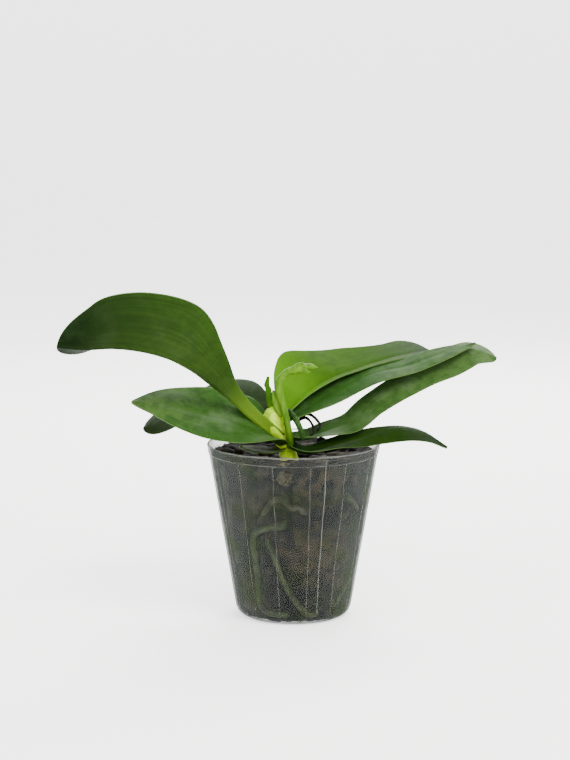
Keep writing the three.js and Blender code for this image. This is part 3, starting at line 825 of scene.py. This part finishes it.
# %% Build the spike
SPIKE_PATH = [
    (-6, -2, 119), (-2.8, -6, 123), (-2.8, -9.5, 129), (-3.7, -11.5, 135), (-4.9, -12, 142),
    (-6.5, -11.5, 149), (-8.6, -10.5, 156), (-10.2, -9.5, 162), (-10.7, -8.5, 167), (-8, -7.5, 171),
    (-4, -6.5, 174.8), (1.2, -6, 176), (6, -6, 177.5), (10, -6, 178.3), (13.5, -6, 178),
]
SPIKE_RADII = [2.6, 2.5, 2.4, 2.35, 2.4, 2.7, 2.85, 2.6, 3.2, 1.2]
SPIKE_BRACTS = [
    ([(-8, -9.5, 143), (-10.5, -8.5, 149), (-13, -7.3, 156), (-14.6, -6.6, 162)], [1.6, 3.2, 2.6, 0.5], 0.6),
    ([(-9.2, -9, 161), (-11.5, -9.3, 165), (-13.4, -9.6, 167.5)], [2.4, 2.2, 0.4], 0.8),
    ([(-1, -6.2, 176), (3, -6.4, 179), (7.5, -7, 181.8)], [2.2, 2.0, 0.4], 1),
    ([(4, -6.8, 176.5), (8, -8.2, 175.6), (12, -9, 174.6)], [2.2, 2.1, 0.5], 1),
    ([(8, -6, 178.4), (13, -6.6, 178.6), (17, -7.2, 177.8)], [2.3, 1.9, 0.3], 1),
]
spike_shape = empty_shape("skin")
spike_length = add_tube(spike_shape, SPIKE_PATH, SPIKE_RADII, around=20, row_mm=1.2, wobble=0.04)
for path, radii, flat in SPIKE_BRACTS:
    add_tube(spike_shape, path, radii, around=16, row_mm=0.8, wobble=0.08, flat=flat)
spike_skin = grown_skin(
    "young_spike_skin", ("#4f880c", "#78b51a", "#a4d435"), 4, 0.5, 0.1, 0.4, draw_out=5, share=0.32,
)
spike = grown("spike_with_bracts", spike_shape, spike_skin, "flower_spike")
print("spike", round(spike_length / MM), "mm long, bracts:", len(SPIKE_BRACTS))

# %% [markdown]
# ## Roots in the air
#
# One live root hangs down in front of the right leaves. Its skin, the velamen, is a felt of dead cells:
# dull and silvery when dry, green where it holds water. Behind it two old roots have dried to thin black
# wires that bow out and back. Both kinds are tubes.

# %% Build the roots in the air
AERIAL_ROOT_PATH = [
    (-11, -2, 145), (-4, -3.5, 146), (0.3, -8, 142.8), (3.5, -12, 138), (5.9, -13, 131.5), (7, -12.5, 126.5),
]
AERIAL_ROOT_RADII = [2.3, 2.2, 2.1, 1.6]
DRIED_ROOTS = [
    ([(4, 8, 138), (9, 7, 142.5), (14, 6, 141), (19, 5, 134.5), (17, 2, 131.5)], 1.1),
    ([(4, 8, 138), (9, 6, 140), (13.5, 4, 135), (14, 1, 130), (12, -1, 128.5)], 1.0),
]
aerial_shape = empty_shape("skin")
add_tube(aerial_shape, AERIAL_ROOT_PATH, AERIAL_ROOT_RADII, around=16, row_mm=1.0, wobble=0.08)
damp_velamen = grown_skin(
    "damp_green_velamen", ("#1f3f10", "#2f5c18", "#62903e"), 4, 0.5, 0.15, 0.6, draw_out=3,
)
grown("aerial_root_tube", aerial_shape, damp_velamen, "aerial_root")

dried_shape = empty_shape("skin")
for path, radius in DRIED_ROOTS:
    add_tube(dried_shape, path, [radius, radius, radius * 0.8], around=10, row_mm=1.0, wobble=0.25)
dry_black = grown_skin("dried_black_root", ("#0a0806", "#15110c", "#2a231a"), 2, 0.4, 0.2, 0.8, shine=0.2)
grown("dried_root_bows", dried_shape, dry_black, "dried_roots")
print("aerial roots:", 1 + len(DRIED_ROOTS))

# %% [markdown]
# ## Clear pot
#
# The pot is a thin tapered cup of soft clear plastic, so that the roots get light. It would be moulded in
# one go: a wall of 1.2 mm with a rounded foot, a slightly thicker band under the rim, thin ribs that
# stiffen it, and drain holes in its flat floor. The wall is one profile spun around the axis. The floor is
# a flat plate, filled between its outer circle and the circles of its holes and then given thickness.

# %% Build the pot's wall and floor
POT_HEIGHT = 123
POT_FOOT_RADIUS = 41.5
POT_FOOT_HEIGHT = 8
POT_TAPER = 0.17
POT_WALL = 1.2
POT_FLOOR = 1.6
POT_CORNER = 6.5
RIM_BAND_FOOT = POT_HEIGHT - 6.4
RIM_BAND_PROUD = 0.4
POT_STEPS = 160
DRAIN_HOLES = 8
DRAIN_RADIUS = 3.5
DRAIN_CIRCLE_RADIUS = 25


def pot_radius(z):
    """Radius of the pot's outside at a height, with its rounded foot."""
    wall = POT_FOOT_RADIUS + (z - POT_FOOT_HEIGHT) * POT_TAPER
    below = max(POT_CORNER - z, 0) / POT_CORNER
    return wall - POT_CORNER * (1 - math.sqrt(1 - below * below))


outside = [(pot_radius(z), z) for z in (0.02, 0.35, 1.2, 2.4, 4, POT_CORNER, 40, 80, RIM_BAND_FOOT)]
band = [(pot_radius(z) + RIM_BAND_PROUD, z) for z in (RIM_BAND_FOOT + 0.4, POT_HEIGHT - 0.5)]
lip = [
    (pot_radius(POT_HEIGHT), POT_HEIGHT), (pot_radius(POT_HEIGHT) - 0.9, POT_HEIGHT),
    (pot_radius(POT_HEIGHT) - POT_WALL, POT_HEIGHT - 0.4),
]
inside = [(pot_radius(z) - POT_WALL, z) for z in (RIM_BAND_FOOT, 80, 40, POT_CORNER, 4, 2.6, POT_FLOOR)]
wall_shape = bmesh.new()
profile = [wall_shape.verts.new((0, -r * MM, z * MM)) for r, z in outside + band + lip + inside]
rings = [wall_shape.edges.new(pair) for pair in zip(profile, profile[1:] + profile[:1])]
bmesh.ops.spin(
    wall_shape, geom=profile + rings, cent=(0, 0, 0), axis=(0, 0, 1), angle=2 * math.pi, steps=POT_STEPS,
    use_merge=True,
)

plate = bmesh.new()
bmesh.ops.create_circle(plate, segments=POT_STEPS, radius=(pot_radius(0.35) - 0.5) * MM)
for hole in range(DRAIN_HOLES):
    turn = 2 * math.pi * hole / DRAIN_HOLES
    place = Vector((math.cos(turn), math.sin(turn), 0)) * DRAIN_CIRCLE_RADIUS * MM
    bmesh.ops.create_circle(
        plate, segments=24, radius=DRAIN_RADIUS * MM, matrix=Matrix.Translation(place),
    )
bmesh.ops.triangle_fill(plate, use_beauty=True, use_dissolve=False, edges=list(plate.edges))
raised = bmesh.ops.extrude_face_region(plate, geom=list(plate.faces))["geom"]
bmesh.ops.translate(plate, vec=(0, 0, POT_FLOOR * MM), verts=verts_in(raised))
plate_mesh = bpy.data.meshes.new("plate")
plate.to_mesh(plate_mesh)
plate.free()
wall_shape.from_mesh(plate_mesh)
bmesh.ops.recalc_face_normals(wall_shape, faces=list(wall_shape.faces))
pot = finished(wall_shape, "pot_shell")
print("pot rim", round(2 * pot_radius(POT_HEIGHT)), "mm across, faces:", len(pot.data.polygons))

# %% [markdown]
# ## Ribs and clear plastic
#
# Fourteen thin ribs stiffen the wall, and a sharper one marks where the mould parted. Each is a narrow
# raised line that wavers a little, as soft plastic does once it has cooled. Two fine rings mark the
# rounded lip and the step under the rim band. The plastic is clear but hazed by lime and algae, so that
# it lays a matt grey veil over the bark. Its alpha rises towards grazing views, where the eye looks
# through more of it, and there the pot's dark grey veil is painted shade for the dark sides that the
# curved wall gives by bending the light.

# %% Build the ribs and the plastic
RIB_COUNT = 14
RIB_START_ANGLE = -14
RIB_RADIUS = 0.13
SEAM_RADIUS = 0.26
RIB_LOW = 8
RIB_WAVER_DEGREES = 1.1
RIB_WAVE_MM = 23
RIB_SEED_STEP = 3.7
SEAM_ANGLE = 22

# Rounded lip and the step under the rim band, as height, distance inside the outside, and radius
RINGS = [(POT_HEIGHT - 0.5, 0.5, 0.42), (RIM_BAND_FOOT, 0.1, 0.18)]
RING_STEP = 15
SCUM_MM = 22
ALGAE_COLOUR = "#5f7340"


def at_wall(angle, z, inward=0.0):
    """Point at an angle right of the front, a little inside the pot's outside, in millimetres."""
    turn = math.radians(angle)
    radius = pot_radius(z) - inward
    return (radius * math.sin(turn), -radius * math.cos(turn), z)


def plastic(name, alpha_face_on, alpha_grazing, colour, rough, shine):
    """Clear plastic with a grey veil: the eye sees what lies behind it, paler and with less contrast."""
    material, tree = material_with_tree(name)
    place = node(tree, "ShaderNodeTexCoord").outputs["Object"]
    scum = clouds(tree, place, SCUM_MM, detail=5.0)
    algae = ranged(tree, scum, 0.5, 0.66, end=0.5)
    tinted = mixed(tree, algae, pigment(colour), pigment(ALGAE_COLOUR))
    view = node(tree, "ShaderNodeLayerWeight", {"Blend": 0.25})
    veil = ranged(tree, view.outputs["Facing"], 0.0, 1.0, start=alpha_face_on, end=alpha_grazing)
    patchy = ranged(tree, scum, 0.3, 0.7, start=0.8, end=1.2)
    alpha = node(tree, "ShaderNodeMath", {"operation": "MULTIPLY"}, {0: veil, 1: patchy})
    surface(
        tree, {"Roughness": rough, "IOR": 1.49, "Specular IOR Level": shine},
        {"Base Color": tinted, "Alpha": alpha.outputs[0]},
    )
    return material


# The pot's dark grey veil is lime haze face on, and painted shade along the pot's sides where it grows
# nearly opaque
pot.data.materials.append(plastic("hazy_plastic_painted_edge_shade", 0.11, 0.95, "#737875", 0.5, 0))
dress(pot, "pot")

rib_shape = empty_shape("skin")
rib_lines = [(RIB_START_ANGLE + 360 * k / RIB_COUNT, RIM_BAND_FOOT - 0.5) for k in range(RIB_COUNT)]
rib_lines.append((SEAM_ANGLE, POT_HEIGHT - 2))
for angle, top_z in rib_lines:
    heights = [RIB_LOW + (top_z - RIB_LOW) * k / 9 for k in range(10)]
    path = []
    for z in heights:
        waver = RIB_WAVER_DEGREES * noise.noise(Vector((angle * RIB_SEED_STEP, 0, z / RIB_WAVE_MM)))
        path.append(at_wall(angle + waver, z, inward=0.05))
    thick = SEAM_RADIUS if angle == SEAM_ANGLE else RIB_RADIUS
    add_tube(rib_shape, path, [thick, thick], around=8, row_mm=2.0, wobble=0.5)
for ring_z, inward, thick in RINGS:
    circle = [at_wall(angle, ring_z, inward) for angle in range(-180, 181, RING_STEP)]
    add_tube(rib_shape, circle, [thick, thick], around=8, row_mm=4.0, wobble=0.2)
bmesh.ops.recalc_face_normals(rib_shape, faces=list(rib_shape.faces))
ribs = finished(rib_shape, "pot_ribs")
ribs.data.materials.append(plastic("thick_plastic_rib", 0.5, 0.8, "#d8d8cc", 0.3, 0.04))
dress(ribs, "pot")
print("ribs:", len(rib_lines))

# %% [markdown]
# ## Roots in the pot
#
# Orchid roots are nearly as thick as a pencil, and they wander along the wall where there is light.
# Their routes are those of the plain model, given as the angle right of the front, the distance from the
# axis and the height. AT_WALL lets a root lie against the plastic.

# %% Build the roots in the pot
AT_WALL = 99
POT_ROOTS = {
    "root_front_long": (2.6, "green", [
        (-8, 5, 96), (-9, 36, 85), (-8, AT_WALL, 74), (-23, AT_WALL, 71), (-36, AT_WALL, 64),
        (-37, AT_WALL, 48), (-36, AT_WALL, 30), (-38, AT_WALL, 16), (-31, AT_WALL, 9),
        (-19, AT_WALL, 7.5), (-4, AT_WALL, 7.5),
    ]),
    "root_front_diagonal": (2.4, "green", [
        (-36, 5, 90), (-28, 34, 76), (-22, AT_WALL, 60), (-19, AT_WALL, 54), (-7, AT_WALL, 28),
        (12, AT_WALL, 9), (28, AT_WALL, 7.5),
    ]),
    "root_front_arch": (2.2, "pale", [
        (24, 5, 105), (15, 36, 94), (9, AT_WALL, 83), (3, AT_WALL, 88), (-2, AT_WALL, 86),
        (-8, AT_WALL, 92), (-16, AT_WALL, 91), (-23, AT_WALL, 83), (-30, 42, 78),
    ]),
    "root_right_short": (2.2, "green", [
        (60, 5, 97), (52, 36, 95), (46, AT_WALL, 92), (51, AT_WALL, 88), (61, AT_WALL, 81), (66, 42, 74),
    ]),
    "root_left_rim": (2.4, "pale", [
        (-66, 5, 103), (-66, 30, 109), (-65, 47, 115), (-64, AT_WALL, 108), (-64, AT_WALL, 98),
        (-63, AT_WALL, 84), (-66, AT_WALL, 60), (-62, AT_WALL, 40),
    ]),
    "root_right_low": (2.3, "green", [
        (92, 5, 90), (86, 34, 62), (80, AT_WALL, 42), (68, AT_WALL, 28),
        (54, AT_WALL, 16), (44, AT_WALL, 11),
    ]),
    "root_back_right": (2.5, "green", [
        (124, 5, 99), (112, 36, 84), (106, AT_WALL, 66), (112, AT_WALL, 48),
        (104, AT_WALL, 30), (108, AT_WALL, 15),
    ]),
    "root_back": (2.4, "pale", [
        (172, 5, 96), (170, 36, 87), (172, AT_WALL, 76), (186, AT_WALL, 60),
        (200, AT_WALL, 50), (204, AT_WALL, 28),
    ]),
    "root_back_left": (2.5, "green", [
        (-120, 5, 100), (-122, 36, 90), (-126, AT_WALL, 80), (-140, AT_WALL, 62), (-134, AT_WALL, 40),
        (-124, AT_WALL, 20),
    ]),
}
TOUCH_GAP = 0.3
velamen = {
    "green": grown_skin(
        "wet_green_velamen", ("#28361a", "#4c5e2a", "#78844e"), 7, 0.7, 0.15, 0.5, shine=0.2,
    ),
    "pale": grown_skin(
        "dry_pale_velamen", ("#3f3f2e", "#66654c", "#918e6e"), 7, 0.7, 0.15, 0.65, shine=0.2,
    ),
}
root_points = []
for root_name, (radius, kind, route) in POT_ROOTS.items():
    samples = []
    count = 4 * (len(route) - 1)
    for k in range(count + 1):
        angle = math.radians(along([place[0] for place in route], k / count))
        z = along([place[2] for place in route], k / count)
        wall = pot_radius(z - radius / 2) - POT_WALL - TOUCH_GAP - radius - 0.1
        reach = min(along([min(place[1], wall) for place in route], k / count), wall)
        samples.append((reach * math.sin(angle), -reach * math.cos(angle), z))
    root_points += [(Vector(sample), radius) for sample in samples]
    root_shape = empty_shape("skin")
    add_tube(root_shape, samples, [radius, radius, radius, radius - 0.2], around=16, row_mm=1.6, wobble=0.06)
    grown(root_name + "_tube", root_shape, velamen[kind], root_name)
print("roots in the pot:", len(POT_ROOTS))

# %% [markdown]
# ## Bark
#
# The pot is filled with chips of pine bark, each as long as a finger nail, and with the crumbs and dust
# that come off them. A gritty core fills the pot to its wall with the crumbs, spun from a profile and
# pushed in by noise, and loose chips lie in it against the wall and on top. Each chip is a cube that is
# cut once, flattened, knocked out of shape and turned at random from a fixed seed. Where a root lies
# against the wall, the bark stays behind it. Each chip has a tone of its own, from near black to
# grey-brown, kept as a vertex attribute. Half way up, a damp belt is darker.

# %% Lay the bark
BARK_TOP = 112
BARK_EDGE_TOP = 117
CORE_STEP_MM = 2.5
CORE_COLUMNS = 144
WALL_CHIPS = 300
TOP_CHIPS = 170
GRIT_MM = 0.9
GRIT_PER_M = 420
LUMPS_PER_M = 170
HEAP_MM = 1.2
HEAPS_PER_M = 200
TONES_PER_M = 30
CHIP_BUMPS_PER_M = 190
CHIP_KNOCK_MM = 1.6
DAMP_BELT_Z = 80
DAMP_BELT_HALF = 9
DRY_ANGLE = 22
DRY_Z = 55
DRY_HALF = 22
MOSS_CENTRE = Vector((-6, -47.5, 109))
MOSS_HALF = Vector((8.5, 7, 8.5))

# The bark stays behind this ball as it does behind a root, so that the tuft shows through the wall
MOSS_ROOM_OFF_CENTRE = Vector((0, -4, -1))
MOSS_ROOM_RADIUS = 5.5
chance = random.Random(12)
root_points.append((MOSS_CENTRE + MOSS_ROOM_OFF_CENTRE, MOSS_ROOM_RADIUS))


def bark_top(share):
    """Height of the bark at a share of the pot's radius: it is heaped against the wall."""
    return BARK_TOP - 3 + (BARK_EDGE_TOP - BARK_TOP + 3) * max(share, 0) ** 4


def bark_tone(place):
    """Drift of the bark's colour over the pot: a damp dark belt, and drier crumbs low on the right."""
    belt = math.exp(-((place.z - DAMP_BELT_Z) / DAMP_BELT_HALF) ** 2)
    turn = math.atan2(place.x, -place.y) - math.radians(DRY_ANGLE)
    dry = max(math.cos(turn), 0) ** 4 * math.exp(-((place.z - DRY_Z) / DRY_HALF) ** 2)
    return 0.3 * dry - 0.35 * belt


root_tree = KDTree(len(root_points))
for index, (point, radius) in enumerate(root_points):
    root_tree.insert(point, index)
root_tree.balance()


def root_room(place, thick):
    """How far bark stays back from the wall at a place, so that a root lies in front of it."""
    index, distance = root_tree.find(place)[1:]
    radius = root_points[index][1]
    near = 1 - (distance - radius - thick) / 2
    return (2 * radius + 0.8) * min(max(near, 0), 1)


bark_shape = bmesh.new()
tone = bark_shape.verts.layers.float.new("tone")
floor_z = POT_FLOOR + TOUCH_GAP
core_heights = [floor_z + CORE_STEP_MM * k for k in range(int((BARK_EDGE_TOP - floor_z) / CORE_STEP_MM) + 1)]
core_profile = [(0, floor_z)] + [(pot_radius(z) - POT_WALL - TOUCH_GAP, z) for z in core_heights]
core_profile += [(share * pot_radius(BARK_TOP), bark_top(share)) for share in (0.92, 0.8, 0.6, 0.4, 0.2, 0)]
core_line = [bark_shape.verts.new((0, -r * MM, z * MM)) for r, z in core_profile]
core_edges = [bark_shape.edges.new(pair) for pair in zip(core_line, core_line[1:])]
bmesh.ops.spin(
    bark_shape, geom=core_line + core_edges, cent=(0, 0, 0), axis=(0, 0, 1), angle=2 * math.pi,
    steps=CORE_COLUMNS, use_merge=True,
)
bmesh.ops.remove_doubles(bark_shape, verts=list(bark_shape.verts), dist=0.01 * MM)
for vert in bark_shape.verts:
    reach = math.hypot(vert.co.x, vert.co.y) / MM
    if reach > 1:
        grit = GRIT_MM * (1 + noise.noise(vert.co * GRIT_PER_M) + noise.noise(vert.co * LUMPS_PER_M))
        shrink = 1 - (root_room(vert.co / MM, 0.8) + max(grit, 0)) / reach
        vert.co.x *= shrink
        vert.co.y *= shrink
    vert.co.z += HEAP_MM * MM * noise.noise(vert.co * HEAPS_PER_M)
    vert[tone] = 0.42 + 0.5 * noise.noise(vert.co * TONES_PER_M) + bark_tone(vert.co / MM)


def keep_in_pot(vert):
    """Moves a point that sticks through the pot's wall or floor back inside."""
    vert.co.z = max(vert.co.z, (POT_FLOOR + TOUCH_GAP) * MM)
    limit = (pot_radius(vert.co.z / MM) - POT_WALL - TOUCH_GAP) * MM
    reach = math.hypot(vert.co.x, vert.co.y)
    if reach > limit:
        vert.co.x *= limit / reach
        vert.co.y *= limit / reach


def add_chip(middle, outward, size, tilt):
    """Adds a chip at a place in millimetres, flat against the given direction."""
    turned = outward.to_track_quat("Z", "Y").to_matrix()
    turned = turned @ Matrix.Rotation(chance.uniform(0, math.pi), 3, "Z")
    turned = turned @ Matrix.Rotation(chance.uniform(-tilt, tilt), 3, "X")
    placed = Matrix.LocRotScale(middle * MM, turned.to_quaternion(), Vector(size) * MM)
    verts_before = len(bark_shape.verts)
    corners = bmesh.ops.create_cube(bark_shape, size=1, matrix=placed)["verts"]
    own_edges = list(dict.fromkeys(edge for vert in corners for edge in vert.link_edges))
    bmesh.ops.subdivide_edges(bark_shape, edges=own_edges, cuts=1, use_grid_fill=True, smooth=0.25)
    bark_shape.verts.ensure_lookup_table()
    own_tone = chance.uniform(0.15, 0.85) + bark_tone(middle)
    seed = Vector((chance.random(), chance.random(), chance.random())) * 40
    for vert in bark_shape.verts[verts_before:]:
        vert.co += noise.noise_vector(vert.co * CHIP_BUMPS_PER_M + seed) * CHIP_KNOCK_MM * MM
        keep_in_pot(vert)
        vert[tone] = own_tone


for chip in range(WALL_CHIPS):
    z = chance.uniform(5, BARK_EDGE_TOP - 2)
    turn = chance.uniform(0, 2 * math.pi)
    size = (chance.uniform(5, 14), chance.uniform(4, 9), chance.uniform(2, 3.5))
    outward = Vector((math.cos(turn), math.sin(turn), 0))
    depth = pot_radius(z) - POT_WALL - TOUCH_GAP - size[2] / 2 - chance.uniform(0, 1.5)
    depth -= root_room(outward * depth + Vector((0, 0, z)), size[0] / 2)
    add_chip(outward * depth + Vector((0, 0, z)), outward, size, tilt=0.3)
for chip in range(TOP_CHIPS):
    turn = chance.uniform(0, 2 * math.pi)
    reach = math.sqrt(chance.uniform(0.02, 1)) * (pot_radius(BARK_TOP) - 7)
    size = (chance.uniform(7, 15), chance.uniform(5, 10), chance.uniform(2, 3.5))
    height = bark_top(reach / pot_radius(BARK_TOP)) + chance.uniform(-1, 0.6)
    middle = Vector((reach * math.cos(turn), reach * math.sin(turn), height))
    add_chip(middle, Vector((0, 0, 1)), size, tilt=0.2)
pine_bark = grown_skin(
    "damp_pine_bark", ("#12130f", "#322f27", "#62573f"), 6, 2.4, 0.3, 0.8, tone="tone", shine=0.1,
)
bark = grown("bark_chips", bark_shape, pine_bark, "bark")
print("chips:", WALL_CHIPS + TOP_CHIPS, "faces:", len(bark.data.polygons))

# %% [markdown]
# ## Moss tuft
#
# The grower packed a wad of sphagnum moss around the young plant. A pale tuft of it shows through the
# plastic under the stem. It is a lumpy core, with strands that lie around it in all directions.

# %% Build the moss tuft
MOSS_STRANDS = 150
moss_shape = empty_shape("skin")
ball = bmesh.ops.create_icosphere(moss_shape, subdivisions=4, radius=1)["verts"]
for vert in ball:
    out = vert.co.copy()
    swell = 0.86 + 0.22 * noise.noise(out * 2.2) + 0.08 * noise.noise(out * 7)
    vert.co = (MOSS_CENTRE + Vector([a * b for a, b in zip(out, MOSS_HALF)]) * swell) * MM
for strand in range(MOSS_STRANDS):
    out = Vector([chance.gauss(0, 1) for axis in range(3)]).normalized()
    across = out.orthogonal()
    across.rotate(Quaternion(out, chance.uniform(0, 2 * math.pi)))
    spots = []
    for k in range(4):
        way = (out + across * (k - 1.5) * 0.3).normalized() * chance.uniform(0.86, 1.0)
        spots.append(MOSS_CENTRE + Vector([a * b for a, b in zip(way, MOSS_HALF)]))
    add_tube(moss_shape, spots, [0.3, 0.4, 0.2], around=5, row_mm=1.5, wobble=0.2)
for vert in moss_shape.verts:
    keep_in_pot(vert)
dried_moss = grown_skin(
    "dried_sphagnum_moss", ("#5f563a", "#8f8564", "#b8af8a"), 3, 0.8, 0.3, 0.9, shine=0.1,
)
moss = grown("moss_strands", moss_shape, dried_moss, "moss_tuft")
print("moss strands:", MOSS_STRANDS)

# %% Finish
print("all pieces made")
